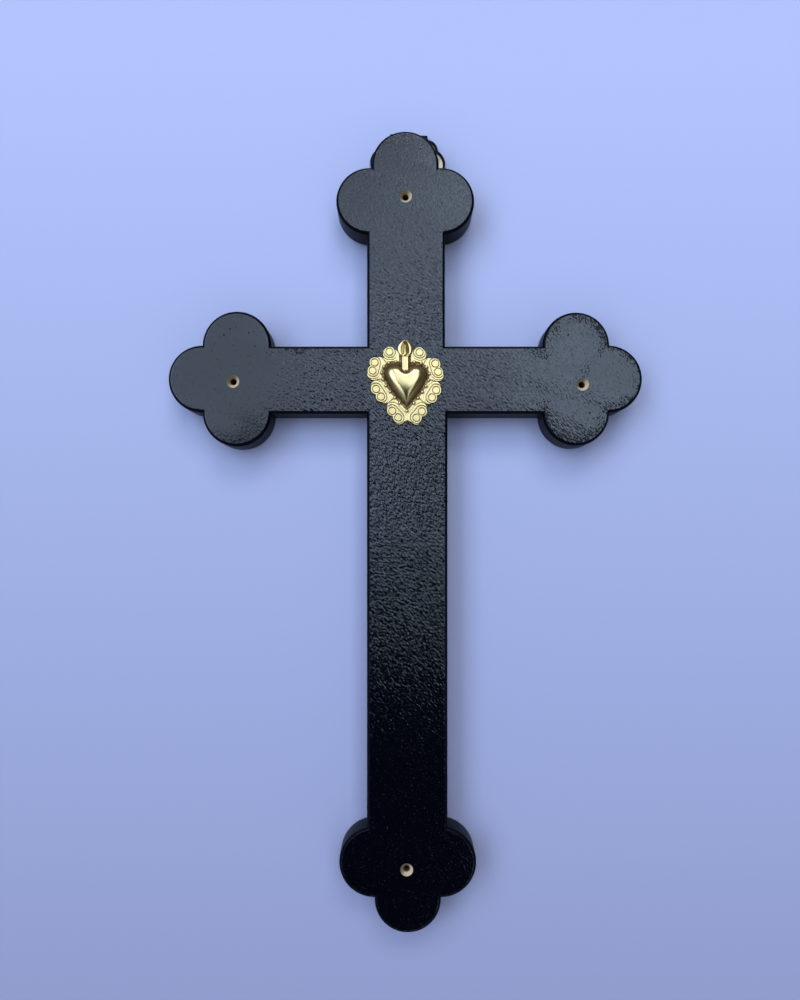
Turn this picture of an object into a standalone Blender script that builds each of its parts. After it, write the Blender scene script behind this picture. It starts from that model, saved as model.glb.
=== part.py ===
"""Budded wall cross: a black painted wooden cross with trefoil ends and a stamped heart charm at its crossing.

Metres, +Z up. The front faces -Y and the back lies in the plane Y = 0, against the wall. The origin is the centre of
the nail hole in the hanger plate. Shapes on the face are drawn across (right, up) from the centre of the crossing, and
the charm's own shapes from the charm's centre.
"""

import math
from collections import namedtuple

import bmesh
import bpy
from mathutils import Matrix, Vector
from mathutils.geometry import interpolate_bezier

# The board
BOARD_THICKNESS = 0.013
STEM_WIDTH_ABOVE = 0.0292
STEM_WIDTH_BELOW = 0.0302
STEM_SHIFT_ABOVE = -0.0001
STEM_SHIFT_BELOW = 0.00035
ARM_HEIGHT = 0.0253
EDGE_ROUNDING = 0.0012

# The trefoil ends: each has an end lobe and two side lobes, which are parts of circles
END_LOBE_RADIUS = 0.0126
FOOT_END_LOBE_RADIUS = 0.0124
TOP_SIDE_LOBE_RADIUS = 0.0125
LEFT_SIDE_LOBE_RADIUS = 0.0129
RIGHT_SIDE_LOBE_RADIUS = 0.01255
FOOT_SIDE_LOBE_RADIUS = 0.0132
TOP_REACH = 0.0671
LEFT_REACH = 0.0635
RIGHT_REACH = 0.0636
FOOT_REACH = 0.1807
TOP_LOBE_STEP = 0.0135
LEFT_LOBE_STEP = 0.01305
RIGHT_LOBE_STEP = 0.0122
FOOT_LOBE_STEP = 0.0140
TOP_LOBE_INSET = 0.0012
ARM_LOBE_INSET = 0.0002
FOOT_LOBE_INSET = 0.0026
TOP_DRIFT = -0.0003
ARM_DRIFT = 0.0004
FOOT_DRIFT = 0.0002

# The four drilled holes: out past the side lobes' centres, and across the limb
HOLE_BORE = 0.0024
HOLE_MOUTH = 0.0048
HOLE_SINK_DEPTH = 0.0013
TOP_HOLE_OUT = 0.0016
LEFT_HOLE_OUT = 0.0014
RIGHT_HOLE_OUT = 0.0023
FOOT_HOLE_OUT = 0.0026
TOP_HOLE_ACROSS = -0.0003
LEFT_HOLE_ACROSS = -0.0006
RIGHT_HOLE_ACROSS = -0.0017
FOOT_HOLE_ACROSS = -0.0003

# The hanger plate: a tab with the nail hole, two shoulders and two big side lobes, and the same below
PLATE_THICKNESS = 0.0008
PLATE_RIM_HEIGHT = 0.0005
PLATE_RIM_WIDTH = 0.0009
PLATE_SIDE_RADIUS = 0.0063
PLATE_SIDE_SPREAD = 0.0083
PLATE_SHOULDER_RADIUS = 0.00415
PLATE_SHOULDER_SPREAD = 0.0073
PLATE_SHOULDER_RISE = 0.0054
PLATE_TAB_WIDTH = 0.0146
PLATE_TAB_RISE = 0.0112
PLATE_RIGHT_SHIFT = 0.0006
PLATE_LEAN = math.radians(-2.5)
PLATE_STANDS_PROUD = 0.0042
NAIL_HOLE = 0.0025
NAIL_HOLE_MARGIN = 0.00105
NAIL_DRILL_LENGTH = 0.008
PLATE_POCKET_CLEARANCE = 0.0003

# The heart charm
CHARM_THICKNESS = 0.0007
CHARM_RIGHT_SHIFT = -0.0002
CHARM_DROP = 0.00065
CHARM_LEAN = 0.043
CHARM_SLANT = 0.017
CHARM_GLUE_GAP = 0.0003
CHARM_EDGE_ROUNDING = 0.00015
HEART_WIDTH = 0.0161
HEART_LOBE_TOP = 0.0062
HEART_CLEFT = 0.0042
HEART_TIP = 0.00975
HEART_PUFF = 0.0027
HEART_BAND = 0.0088
BEAD_RADIUS = 0.00055
BEAD_PITCH = 0.0024
BEAD_GAP = 0.0010
BEAD_STAND = 0.00015
BOSS_RADIUS = 0.0021
BOSS_HEIGHT = 0.0007
BOSS_DISC_RADIUS = 0.0012
FLAME_WIDTH = 0.0059
FLAME_HEIGHT = 0.0069
FLAME_BULGE = 0.0015
FLAME_SHIFT = 0.0004
COLLAR_WIDTH = 0.0029
COLLAR_HEIGHT = 0.0045
COLLAR_FOOT_RISE = 0.0043
COLLAR_FOOT_WIDTH = 0.0040

# How finely the round shapes are cut
ARC_STEP = math.radians(10)
PLATE_POINTS = 120
CHARM_POINTS = 144
TURNED_STEPS = 12
HEART_SPAN_POINTS = 7
BEAD_LINE_SPAN_POINTS = 24
HOLE_STEPS = 24

# Cutters run this far past the faces that they cut
OVERCUT = 0.001

# Outlines are filled while turned by this much, because the fill fails where far corners stand level with each other
FILL_TURN = math.radians(17)

# Boss centres on the right half of the charm, from the flame down to the tip
BOSSES = [
    (0.0056, 0.01075),
    (0.0113, 0.00665),
    (0.0122, 0.00360),
    (0.0112, -0.00325),
    (0.0095, -0.00605),
    (0.0055, -0.01130),
    (0.0034, -0.01375),
]

# The leaves behind the bosses, as circles from the flame down to the tip: each one's centre and radius
LEAVES = [
    (0.0042, 0.0098, 0.0021),
    (0.0058, 0.0102, 0.0024),
    (0.0094, 0.0056, 0.0033),
    (0.0122, 0.0024, 0.0022),
    (0.0106, -0.0024, 0.0027),
    (0.0080, -0.0062, 0.0024),
    (0.0052, -0.0102, 0.0024),
    (0.0031, -0.0141, 0.0022),
    (0.0014, -0.0135, 0.0019),
]

FRONT = -BOARD_THICKNESS

# One trefoil: the way its limb points, how far out its side lobes sit, its lobes, and its limb's edges
Bud = namedtuple("Bud", "out reach step inset side_radius end_radius edge_right edge_left drift")


def turn(vector):
    """A quarter turn anticlockwise, seen from the front."""
    return Vector((-vector.y, vector.x))


def buds():
    """The four ends, anticlockwise from the right. Each limb's right and left are seen looking out along it."""
    half_arm = ARM_HEIGHT / 2
    half_above = STEM_WIDTH_ABOVE / 2
    half_below = STEM_WIDTH_BELOW / 2
    return {
        "right": Bud(Vector((1, 0)), RIGHT_REACH, RIGHT_LOBE_STEP, ARM_LOBE_INSET, RIGHT_SIDE_LOBE_RADIUS, END_LOBE_RADIUS,
                     -half_arm, half_arm, ARM_DRIFT),
        "top": Bud(Vector((0, 1)), TOP_REACH, TOP_LOBE_STEP, TOP_LOBE_INSET, TOP_SIDE_LOBE_RADIUS, END_LOBE_RADIUS,
                   -half_above - STEM_SHIFT_ABOVE, half_above - STEM_SHIFT_ABOVE, -TOP_DRIFT),
        "left": Bud(Vector((-1, 0)), LEFT_REACH, LEFT_LOBE_STEP, ARM_LOBE_INSET, LEFT_SIDE_LOBE_RADIUS, END_LOBE_RADIUS,
                    -half_arm, half_arm, -ARM_DRIFT),
        "foot": Bud(Vector((0, -1)), FOOT_REACH, FOOT_LOBE_STEP, FOOT_LOBE_INSET, FOOT_SIDE_LOBE_RADIUS, FOOT_END_LOBE_RADIUS,
                    -half_below + STEM_SHIFT_BELOW, half_below + STEM_SHIFT_BELOW, FOOT_DRIFT),
    }


def arc(centre, radius, start, end):
    """Points along an anticlockwise arc, its two ends included."""
    sweep = (end - start) % math.tau
    steps = max(2, round(sweep / ARC_STEP))
    points = []
    for step in range(steps + 1):
        angle = start + sweep * step / steps
        points.append(centre + Vector((math.cos(angle), math.sin(angle))) * radius)
    return points


def angle_of(vector):
    return math.atan2(vector.y, vector.x)


def outer_crossing(centre_a, radius_a, centre_b, radius_b, outward):
    """The crossing of two circles that lies further along a direction."""
    gap = centre_b - centre_a
    along = (gap.length_squared + radius_a ** 2 - radius_b ** 2) / (2 * gap.length)
    across = math.sqrt(max(radius_a ** 2 - along ** 2, 0))
    foot = centre_a + gap.normalized() * along
    side = turn(gap.normalized()) * across
    return max(foot + side, foot - side, key=lambda point: point.dot(outward))


def bud_outline(bud):
    """One trefoil's edge, anticlockwise, from its limb's right edge round to its left."""
    left = turn(bud.out)
    middle = (bud.edge_right + bud.edge_left) / 2 + bud.drift
    spread = (bud.edge_left - bud.edge_right) / 2 - bud.inset
    lobes = []
    for side in (-1, 1):
        lobes.append(bud.out * bud.reach + left * (middle + side * spread))
    end_lobe = bud.out * (bud.reach + bud.step) + left * middle
    points = []
    for side, lobe, edge in ((-1, lobes[0], bud.edge_right), (1, lobes[1], bud.edge_left)):
        depth = edge - lobe.dot(left)
        back = math.sqrt(max(bud.side_radius ** 2 - depth ** 2, 0))
        on_limb = lobe + left * depth - bud.out * back
        notch = outer_crossing(lobe, bud.side_radius, end_lobe, bud.end_radius, left * side)
        if side < 0:
            points += arc(lobe, bud.side_radius, angle_of(on_limb - lobe), angle_of(notch - lobe))
            first_notch = notch
        else:
            points += arc(end_lobe, bud.end_radius, angle_of(first_notch - end_lobe),
                          angle_of(notch - end_lobe))[1:]
            points += arc(lobe, bud.side_radius, angle_of(notch - lobe), angle_of(on_limb - lobe))[1:]
    return points


def board_outline():
    """The whole cross, anticlockwise. A point stands in each inner corner of the crossing."""
    ends = buds()
    stem_right_above = STEM_SHIFT_ABOVE + STEM_WIDTH_ABOVE / 2
    stem_left_above = STEM_SHIFT_ABOVE - STEM_WIDTH_ABOVE / 2
    stem_right_below = STEM_SHIFT_BELOW + STEM_WIDTH_BELOW / 2
    stem_left_below = STEM_SHIFT_BELOW - STEM_WIDTH_BELOW / 2
    half_arm = ARM_HEIGHT / 2
    return (
        bud_outline(ends["right"]) + [Vector((stem_right_above, half_arm))]
        + bud_outline(ends["top"]) + [Vector((stem_left_above, half_arm))]
        + bud_outline(ends["left"]) + [Vector((stem_left_below, -half_arm))]
        + bud_outline(ends["foot"]) + [Vector((stem_right_below, -half_arm))]
    )


# Where things stand, from the centre of the crossing
BOARD_TOP = TOP_REACH + TOP_LOBE_STEP + END_LOBE_RADIUS
PLATE_CENTRE = Vector((PLATE_RIGHT_SHIFT, BOARD_TOP + PLATE_STANDS_PROUD - PLATE_TAB_RISE))


def on_plate(point):
    """A point of the hanger plate, which is fixed a little askew, as a point on the cross."""
    return PLATE_CENTRE + Matrix.Rotation(PLATE_LEAN, 2) @ Vector(point)


NAIL_HOLE_CENTRE = on_plate((0, PLATE_TAB_RISE - NAIL_HOLE_MARGIN - NAIL_HOLE / 2))


def world(point, depth):
    """A point on the cross, (right, up) from the crossing, at a depth along Y."""
    return Vector((point[0] - NAIL_HOLE_CENTRE.x, depth, point[1] - NAIL_HOLE_CENTRE.y))


def on_charm(point):
    """A point of the charm, which is stamped a little skew, as a point on the cross."""
    right, up = point
    return Vector((CHARM_RIGHT_SHIFT + right - CHARM_LEAN * up, up - CHARM_DROP - CHARM_SLANT * right))


# Helpers for objects and meshes


def clear_scene():
    for item in list(bpy.data.objects):
        bpy.data.objects.remove(item, do_unlink=True)


def new_collection(name):
    collection = bpy.data.collections.new(name)
    bpy.context.scene.collection.children.link(collection)
    return collection


def new_object(name, data, collection):
    item = bpy.data.objects.new(name, data)
    collection.objects.link(item)
    return item


def new_material(name, colour, roughness, metallic):
    material = bpy.data.materials.new(name)
    material.use_nodes = True
    shader = material.node_tree.nodes["Principled BSDF"]
    shader.inputs["Base Color"].default_value = (*colour, 1)
    shader.inputs["Roughness"].default_value = roughness
    shader.inputs["Metallic"].default_value = metallic
    return material


def evaluated_mesh(item):
    """The mesh that an object shows, with its modifiers or its curve's depth made real and loose caps welded."""
    bpy.context.view_layer.update()
    graph = bpy.context.evaluated_depsgraph_get()
    mesh = bpy.data.meshes.new_from_object(item.evaluated_get(graph))
    solid = bmesh.new()
    solid.from_mesh(mesh)
    bmesh.ops.remove_doubles(solid, verts=solid.verts, dist=0.000001)
    bmesh.ops.recalc_face_normals(solid, faces=solid.faces)
    solid.to_mesh(mesh)
    solid.free()
    return mesh


def slab(name, outline, front, back, collection, rounding=0, rounding_steps=1):
    """A flat solid between two depths, with its outline in world (x, z) and both its edges rounded."""
    curve = bpy.data.curves.new(name, "CURVE")
    curve.dimensions = "2D"
    curve.fill_mode = "BOTH"
    curve.extrude = (back - front) / 2 - rounding
    curve.offset = -rounding
    curve.bevel_depth = rounding
    curve.bevel_resolution = rounding_steps - 1
    spline = curve.splines.new("POLY")
    spline.points.add(len(outline) - 1)
    spline.use_cyclic_u = True
    for point, corner in zip(spline.points, outline):
        point.co = (*(Matrix.Rotation(FILL_TURN, 2) @ corner), 0, 1)
    drawn = new_object(name + "_drawn", curve, collection)
    drawn.matrix_world = (Matrix.Translation((0, (front + back) / 2, 0)) @ Matrix.Rotation(math.pi / 2, 4, "X")
                          @ Matrix.Rotation(-FILL_TURN, 4, "Z"))
    solid = new_object(name, evaluated_mesh(drawn), collection)
    solid.matrix_world = drawn.matrix_world
    bpy.data.objects.remove(drawn, do_unlink=True)
    bpy.data.curves.remove(curve)
    return solid


def turned(name, profile, steps, collection):
    """A solid turned about Z from (radius, height) points that run from its top down to its bottom."""
    mesh = bpy.data.meshes.new(name)
    mesh.from_pydata([(radius, 0, height) for radius, height in profile],
                     [(index, index + 1) for index in range(len(profile) - 1)], [])
    blank = new_object(name + "_profile", mesh, collection)
    screw = blank.modifiers.new("turn", "SCREW")
    screw.steps = steps
    screw.render_steps = steps
    screw.use_merge_vertices = True
    screw.merge_threshold = 0.000001
    solid = new_object(name, evaluated_mesh(blank), collection)
    bpy.data.objects.remove(blank, do_unlink=True)
    return solid


def boolean(target, tool, operation):
    """Cuts or joins one object with another, or with all in a collection, for good."""
    modifier = target.modifiers.new(operation.lower(), "BOOLEAN")
    modifier.operation = operation
    modifier.solver = "EXACT"
    if isinstance(tool, bpy.types.Collection):
        modifier.operand_type = "COLLECTION"
        modifier.collection = tool
    else:
        modifier.object = tool
    target.data = evaluated_mesh(target)
    target.modifiers.clear()


def as_cutter(item):
    item.hide_render = True
    item.display_type = "WIRE"


def finish(item, material, smooth_angle):
    item.data.materials.clear()
    item.data.materials.append(material)
    item.data.shade_smooth()
    item.data.set_sharp_from_angle(angle=math.radians(smooth_angle))


# The board


def hole_cutters(cutters):
    """One countersunk drill for each end, from in front of the face to behind the back."""
    ends = buds()
    profile = [
        (0, OVERCUT),
        (HOLE_MOUTH / 2 + (HOLE_MOUTH - HOLE_BORE) / 2 * OVERCUT / HOLE_SINK_DEPTH, OVERCUT),
        (HOLE_BORE / 2, -HOLE_SINK_DEPTH),
        (HOLE_BORE / 2, -BOARD_THICKNESS - OVERCUT),
        (0, -BOARD_THICKNESS - OVERCUT),
    ]
    places = {
        "top": (TOP_HOLE_OUT, Vector((TOP_HOLE_ACROSS, 0))),
        "left": (LEFT_HOLE_OUT, Vector((0, LEFT_HOLE_ACROSS))),
        "right": (RIGHT_HOLE_OUT, Vector((0, RIGHT_HOLE_ACROSS))),
        "foot": (FOOT_HOLE_OUT, Vector((STEM_SHIFT_BELOW + FOOT_HOLE_ACROSS, 0))),
    }
    drills = []
    for side, (out, across) in places.items():
        end = ends[side]
        drill = turned(side + "_drill", profile, HOLE_STEPS, cutters)
        drill.matrix_world = (Matrix.Translation(world(end.out * (end.reach + out) + across, FRONT))
                              @ Matrix.Rotation(math.pi / 2, 4, "X"))
        as_cutter(drill)
        drills.append(drill)
    return drills


def build_board(pieces, cutters):
    outline = [world(point, 0).xz for point in board_outline()]
    board = slab("cross_board", outline, FRONT, 0, pieces, EDGE_ROUNDING, 2)
    for drill in hole_cutters(cutters):
        boolean(board, drill, "DIFFERENCE")
    pocket_floor = -PLATE_THICKNESS - PLATE_RIM_HEIGHT - PLATE_POCKET_CLEARANCE
    pocket_outline = plate_outline(-PLATE_POCKET_CLEARANCE)
    pocket = slab("plate_pocket", pocket_outline, pocket_floor, OVERCUT, cutters)
    as_cutter(pocket)
    boolean(board, pocket, "DIFFERENCE")
    finish(board, new_material("gloss_black_paint", (0.006, 0.008, 0.010), 0.22, 0), 25)
    return board


# The hanger plate


def ray_to_circle(direction, centre, radius):
    """How far a ray from the plate's or the charm's centre runs to leave a circle, or 0 if it misses it."""
    along = centre.dot(direction)
    off_squared = centre.length_squared - along ** 2
    if off_squared > radius ** 2:
        return 0
    return along + math.sqrt(radius ** 2 - off_squared)


def ray_to_block(direction, half_width, half_height):
    """How far a ray from the centre runs to leave an upright block round the centre."""
    return min(half_width / max(abs(direction.x), 1e-9), half_height / max(abs(direction.y), 1e-9))


def without_straight_points(outline):
    """The outline without the points that lie on a straight line between their neighbours."""
    kept = []
    for before, here, after in zip(outline[-1:] + outline[:-1], outline, outline[1:] + outline[:1]):
        if abs((here - before).normalized().cross((after - here).normalized())) > 0.001:
            kept.append(here)
    return kept


def plate_outline(inset):
    """The hanger plate's edge in world (x, z), moved inward by an inset or outward by a negative one."""
    circles = []
    for side in (-1, 1):
        circles.append((Vector((side * PLATE_SIDE_SPREAD, 0)), PLATE_SIDE_RADIUS - inset))
        for rise in (-PLATE_SHOULDER_RISE, PLATE_SHOULDER_RISE):
            circles.append((Vector((side * PLATE_SHOULDER_SPREAD, rise)), PLATE_SHOULDER_RADIUS - inset))
    points = []
    for step in range(PLATE_POINTS):
        angle = math.tau * step / PLATE_POINTS
        direction = Vector((math.cos(angle), math.sin(angle)))
        reach = ray_to_block(direction, PLATE_TAB_WIDTH / 2 - inset, PLATE_TAB_RISE - inset)
        for centre, radius in circles:
            reach = max(reach, ray_to_circle(direction, centre, radius))
        points.append(world(on_plate(direction * reach), 0).xz)
    return without_straight_points(points)


def build_plate(pieces, cutters):
    plate = slab("hanger_plate", plate_outline(0), -PLATE_THICKNESS - PLATE_RIM_HEIGHT, 0, pieces)
    field = slab("plate_field", plate_outline(PLATE_RIM_WIDTH), -PLATE_THICKNESS - PLATE_RIM_HEIGHT - OVERCUT,
                 -PLATE_THICKNESS, cutters)
    bpy.ops.mesh.primitive_cylinder_add(vertices=HOLE_STEPS, radius=NAIL_HOLE / 2, depth=NAIL_DRILL_LENGTH,
                                        rotation=(math.pi / 2, 0, 0), location=world(NAIL_HOLE_CENTRE, 0))
    nail = bpy.context.object
    nail.name = "nail_drill"
    for collection in list(nail.users_collection):
        collection.objects.unlink(nail)
    cutters.objects.link(nail)
    for cutter in (field, nail):
        as_cutter(cutter)
        boolean(plate, cutter, "DIFFERENCE")
    finish(plate, new_material("dark_brass", (0.16, 0.12, 0.07), 0.4, 1), 30)
    return plate


# The heart charm


def mirrored(points):
    """Points of the right half and, after them, their mirror images in the same order."""
    return [Vector((side * right, up)) for side in (1, -1) for right, up in points]


def heart_half(points_a_span):
    """The heart's right edge from its cleft, over the lobe, down to its tip."""
    half = HEART_WIDTH / 2
    knots = [
        (Vector((0, HEART_CLEFT)), Vector((0, 0)), Vector((0.10 * half, 0.8 * (HEART_LOBE_TOP - HEART_CLEFT)))),
        (Vector((0.5 * half, HEART_LOBE_TOP)), Vector((-0.28 * half, 0)), Vector((0.28 * half, 0))),
        (Vector((half, 0.4 * HEART_LOBE_TOP)), Vector((0, 0.3 * HEART_LOBE_TOP)), Vector((0, -0.36 * HEART_TIP))),
        (Vector((0, -HEART_TIP)), Vector((0.28 * half, 0.22 * HEART_TIP)), Vector((0, 0))),
    ]
    points = []
    for (start, _, leave), (end, arrive, _) in zip(knots, knots[1:]):
        span = interpolate_bezier(start, start + leave, end + arrive, end, points_a_span)
        points += [Vector(point).xy for point in span][:-1]
    return points + [knots[-1][0]]


def heart_outline(points_a_span):
    """The whole heart, clockwise from its cleft."""
    right = heart_half(points_a_span)
    left = [Vector((-point.x, point.y)) for point in reversed(right[1:-1])]
    return right + left


def charm_outline():
    """The charm's scalloped edge: bosses, leaves, the flame and a band round the heart, seen from the centre."""
    circles = [(centre, BOSS_RADIUS) for centre in mirrored(BOSSES)]
    for right, up, radius in LEAVES:
        circles += [(centre, radius) for centre in mirrored([(right, up)])]
    circles.append((Vector((FLAME_SHIFT, flame_middle())), FLAME_WIDTH / 2))
    circles.append((Vector((FLAME_SHIFT, flame_middle() + 0.25 * FLAME_HEIGHT)), FLAME_WIDTH / 4))
    circles.append((Vector((0, 0)), HEART_BAND))
    points = []
    for step in range(CHARM_POINTS):
        angle = math.tau * (step + 0.5) / CHARM_POINTS
        direction = Vector((math.cos(angle), math.sin(angle)))
        reach = max(ray_to_circle(direction, centre, radius) for centre, radius in circles)
        points.append(world(on_charm(direction * reach), 0).xz)
    return points


def flame_middle():
    return COLLAR_FOOT_RISE + COLLAR_HEIGHT + 0.5 * FLAME_HEIGHT


def charm_front():
    return FRONT - CHARM_GLUE_GAP - CHARM_THICKNESS


def build_heart(features):
    """The puffed heart: rings of its outline that draw in as they rise."""
    outline = heart_outline(HEART_SPAN_POINTS)
    sink = CHARM_THICKNESS / 2
    rings = [(1.0, -sink), (1.0, 0.12), (0.94, 0.46), (0.82, 0.76), (0.62, 0.93), (0.36, 0.99)]
    solid = bmesh.new()
    loops = []
    for scale, rise in rings:
        height = rise * HEART_PUFF if rise > 0 else rise
        loop = []
        for point in outline:
            place = world(on_charm(point * scale), charm_front() - height)
            loop.append(solid.verts.new(place))
        loops.append(loop)
    for lower, upper in zip(loops, loops[1:]):
        for index in range(len(outline)):
            after = (index + 1) % len(outline)
            solid.faces.new((lower[index], lower[after], upper[after], upper[index]))
    solid.faces.new(loops[0])
    crown = solid.verts.new(world(on_charm((0, 0)), charm_front() - HEART_PUFF))
    for index in range(len(outline)):
        solid.faces.new((loops[-1][index], loops[-1][(index + 1) % len(outline)], crown))
    bmesh.ops.recalc_face_normals(solid, faces=solid.faces)
    mesh = bpy.data.meshes.new("heart")
    solid.to_mesh(mesh)
    solid.free()
    new_object("heart", mesh, features)


def bead_places():
    """Centres along a line round the heart, one pitch apart, leaving the collar's place free."""
    line = []
    outline = heart_half(BEAD_LINE_SPAN_POINTS)
    for before, here, after in zip(outline, outline[1:], outline[2:]):
        tangent = (after - before).normalized()
        line.append(here + Vector((-tangent.y, tangent.x)) * BEAD_GAP)
    line.append(Vector((0, -HEART_TIP - 1.4 * BEAD_GAP)))
    line.reverse()
    places = [line[0]]
    travelled = 0
    for before, here in zip(line, line[1:]):
        travelled += (here - before).length
        if travelled >= BEAD_PITCH and here.x > COLLAR_FOOT_WIDTH / 2 + BEAD_RADIUS:
            places.append(here)
            travelled = 0
    return places + [Vector((-place.x, place.y)) for place in places[1:]]


def build_beads(features):
    for number, place in enumerate(bead_places()):
        bead = bmesh.new()
        bmesh.ops.create_uvsphere(bead, u_segments=8, v_segments=4, radius=BEAD_RADIUS,
                                  matrix=Matrix.Rotation(math.pi / 2, 4, "X"))
        mesh = bpy.data.meshes.new("bead")
        bead.to_mesh(mesh)
        bead.free()
        item = new_object(f"bead_{number}", mesh, features)
        item.matrix_world = Matrix.Translation(world(on_charm(place), charm_front() - BEAD_STAND))


def build_bosses(features):
    """Ring bosses: a domed disc in a groove inside a rim."""
    profile = [
        (0, BOSS_HEIGHT),
        (0.6 * BOSS_DISC_RADIUS, 0.85 * BOSS_HEIGHT),
        (BOSS_DISC_RADIUS, 0.35 * BOSS_HEIGHT),
        ((BOSS_DISC_RADIUS + BOSS_RADIUS) / 2, 0.55 * BOSS_HEIGHT),
        (0.93 * BOSS_RADIUS, 0.2 * BOSS_HEIGHT),
        (0.93 * BOSS_RADIUS, -CHARM_THICKNESS / 2),
        (0, -CHARM_THICKNESS / 2),
    ]
    for number, centre in enumerate(mirrored(BOSSES)):
        boss = turned(f"boss_{number}", profile, TURNED_STEPS, features)
        boss.matrix_world = (Matrix.Translation(world(on_charm(centre), charm_front()))
                             @ Matrix.Rotation(math.pi / 2, 4, "X"))


def build_flame(features):
    """The flame on its collar: a turned bud, flattened, with its back half pressed into the plate."""
    foot = COLLAR_FOOT_RISE
    top = foot + COLLAR_HEIGHT + FLAME_HEIGHT
    profile = [
        (0, top),
        (0.30 * FLAME_WIDTH, top - 0.22 * FLAME_HEIGHT),
        (0.49 * FLAME_WIDTH, top - 0.50 * FLAME_HEIGHT),
        (0.40 * FLAME_WIDTH, top - 0.78 * FLAME_HEIGHT),
        (0.30 * COLLAR_WIDTH, top - FLAME_HEIGHT),
        (COLLAR_WIDTH / 2, top - FLAME_HEIGHT - 0.12 * COLLAR_HEIGHT),
        (COLLAR_WIDTH / 2, foot + 0.35 * COLLAR_HEIGHT),
        (COLLAR_FOOT_WIDTH / 2, foot + 0.05 * COLLAR_HEIGHT),
        (0, foot),
    ]
    flame = turned("flame", profile, TURNED_STEPS, features)
    bulge = FLAME_BULGE / (FLAME_WIDTH / 2)
    for vertex in flame.data.vertices:
        right, back, up = vertex.co
        depth = charm_front() + min(back * bulge, CHARM_THICKNESS / 2)
        shift = FLAME_SHIFT * (up - foot) / (top - foot)
        vertex.co = world(on_charm((right + shift, up)), depth)


def build_charm(pieces, features):
    charm = slab("heart_charm", charm_outline(), charm_front(), FRONT - CHARM_GLUE_GAP, pieces,
                 CHARM_EDGE_ROUNDING)
    build_heart(features)
    build_beads(features)
    build_bosses(features)
    build_flame(features)
    for item in features.objects:
        as_cutter(item)
    boolean(charm, features, "UNION")
    finish(charm, new_material("gold_brass", (0.80, 0.62, 0.28), 0.25, 1), 40)
    return charm


def main():
    clear_scene()
    pieces = new_collection("budded_wall_cross")
    cutters = new_collection("cutters")
    features = new_collection("charm_features")
    build_board(pieces, cutters)
    build_plate(pieces, cutters)
    build_charm(pieces, features)


main()
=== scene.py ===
"""Looks for the budded wall cross: gloss black paint, bare wood in the drilled holes, a gold stamped
heart charm and a dark brass hanger, in front of a pale wall.

The file is laid out as an add-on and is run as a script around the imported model. Lengths are metres, +Z
is up and the front faces -Y. Shapes on the face are drawn (right, up) from the centre of the crossing, as
in the part's source.
"""

import math
from collections import namedtuple

import bmesh
import bpy
import numpy as np
from bpy.props import FloatProperty, FloatVectorProperty, PointerProperty
from mathutils import Matrix, Vector
from mathutils.geometry import interpolate_bezier

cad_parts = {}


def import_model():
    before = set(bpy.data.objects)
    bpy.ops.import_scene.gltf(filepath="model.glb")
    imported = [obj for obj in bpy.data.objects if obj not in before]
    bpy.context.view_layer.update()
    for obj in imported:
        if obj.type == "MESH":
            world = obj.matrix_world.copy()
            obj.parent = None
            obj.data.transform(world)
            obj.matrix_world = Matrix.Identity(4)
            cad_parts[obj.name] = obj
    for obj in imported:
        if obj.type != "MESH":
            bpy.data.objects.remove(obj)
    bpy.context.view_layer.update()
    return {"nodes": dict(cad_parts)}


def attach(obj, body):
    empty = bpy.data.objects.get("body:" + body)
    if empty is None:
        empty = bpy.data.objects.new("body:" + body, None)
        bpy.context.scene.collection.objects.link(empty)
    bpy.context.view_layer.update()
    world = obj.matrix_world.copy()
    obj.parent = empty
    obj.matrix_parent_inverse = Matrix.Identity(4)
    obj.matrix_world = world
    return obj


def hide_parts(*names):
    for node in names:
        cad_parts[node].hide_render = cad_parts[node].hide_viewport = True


bl_info = {
    "name": "Budded wall cross",
    "version": (1, 0, 0),
    "blender": (4, 5, 0),
    "location": "3D View > Sidebar > Cross",
    "description": "Makes the finished pieces of a budded wall cross around its packed model",
    "category": "Object",
}

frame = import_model()

# The board, as in the part's source
BOARD_THICKNESS = 0.013
STEM_WIDTH_ABOVE = 0.0292
STEM_WIDTH_BELOW = 0.0302
STEM_SHIFT_ABOVE = -0.0001
STEM_SHIFT_BELOW = 0.00035
ARM_HEIGHT = 0.0253
END_LOBE_RADIUS = 0.0126
FOOT_END_LOBE_RADIUS = 0.0124
TOP_SIDE_LOBE_RADIUS = 0.0125
LEFT_SIDE_LOBE_RADIUS = 0.0129
RIGHT_SIDE_LOBE_RADIUS = 0.01255
FOOT_SIDE_LOBE_RADIUS = 0.0132
TOP_REACH = 0.0671
LEFT_REACH = 0.0635
RIGHT_REACH = 0.0636
FOOT_REACH = 0.1807
TOP_LOBE_STEP = 0.0135
LEFT_LOBE_STEP = 0.01305
RIGHT_LOBE_STEP = 0.0122
FOOT_LOBE_STEP = 0.0140
TOP_LOBE_INSET = 0.0012
ARM_LOBE_INSET = 0.0002
FOOT_LOBE_INSET = 0.0026
TOP_DRIFT = -0.0003
ARM_DRIFT = 0.0004
FOOT_DRIFT = 0.0002
HOLE_BORE = 0.0024
HOLE_MOUTH = 0.0048
HOLE_SINK_DEPTH = 0.0013
TOP_HOLE = (-0.0003, 0.0687)
LEFT_HOLE = (-0.0649, -0.0006)
RIGHT_HOLE = (0.0659, -0.0017)
FOOT_HOLE = (0.00015, -0.1833)

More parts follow.
